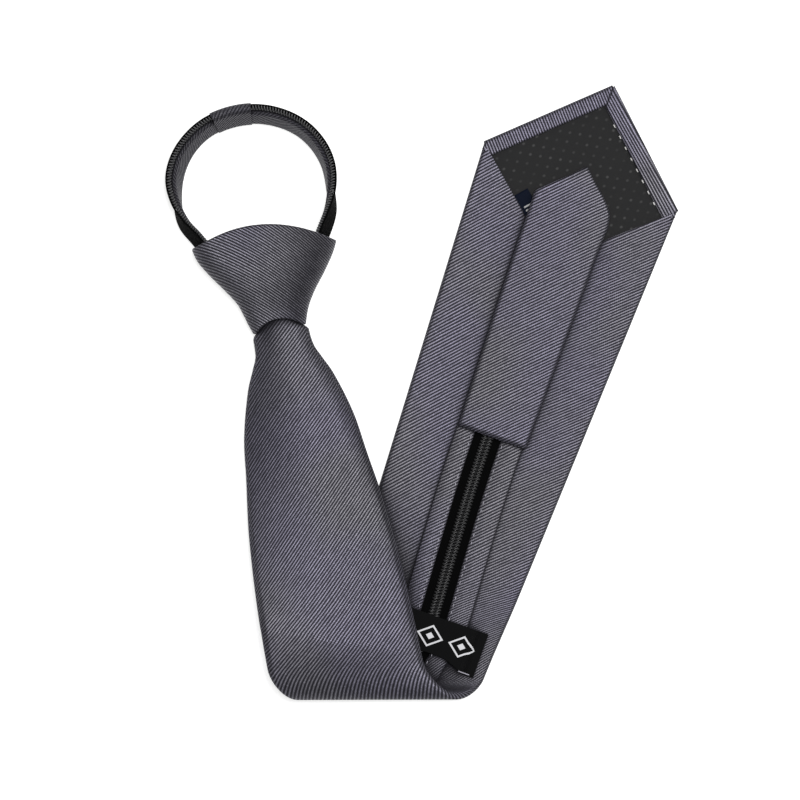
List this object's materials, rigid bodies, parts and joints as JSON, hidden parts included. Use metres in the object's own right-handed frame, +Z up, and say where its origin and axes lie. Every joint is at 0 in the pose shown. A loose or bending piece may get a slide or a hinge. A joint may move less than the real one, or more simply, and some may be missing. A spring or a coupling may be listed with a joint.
{
  "type": "zipper necktie",
  "caption": "Padded slate-grey necktie with a ready-made knot on a zip neck loop, laid flat with the blade folded under once.",
  "frame": {"origin": "middle of the footprint, on the surface that the necktie lies on", "axes": "+Z up from the surface, +Y from the fold towards the blade's point and the neck loop, +X from the knot's side towards the point's side"},
  "size_m": [0.2016, 0.2422, 0.0243],
  "materials": {
    "grey_repp": "fine diagonal ribs with a soft sheen",
    "dotted_lining": "smooth lining with a grid of small lighter dots",
    "navy_weave": "fine woven label, bare",
    "black_tape": "matt woven zip tape",
    "black_satin": "black woven label with plain white lozenges",
    "black_nylon": "nylon coil",
    "black_plastic": "moulded"
  },
  "bodies": {
    "root": {"front_blade": "grey_repp", "tip_lining": "dotted_lining", "care_label": "navy_weave", "tail_blade": "grey_repp", "zip_tape": "black_tape", "zip_coil": "black_nylon", "strip_cover_left": "grey_repp", "strip_cover_right": "grey_repp", "keeper_label": "black_satin", "knot": "grey_repp", "knot_core": "black_plastic", "neck_cover_right": "grey_repp", "neck_tape_right": "black_tape", "neck_coil_right": "black_nylon", "neck_cover_left": "grey_repp", "neck_tape_left": "black_tape", "neck_coil_left": "black_nylon", "loop_sleeve": "grey_repp"}
  },
  "joints": []
}
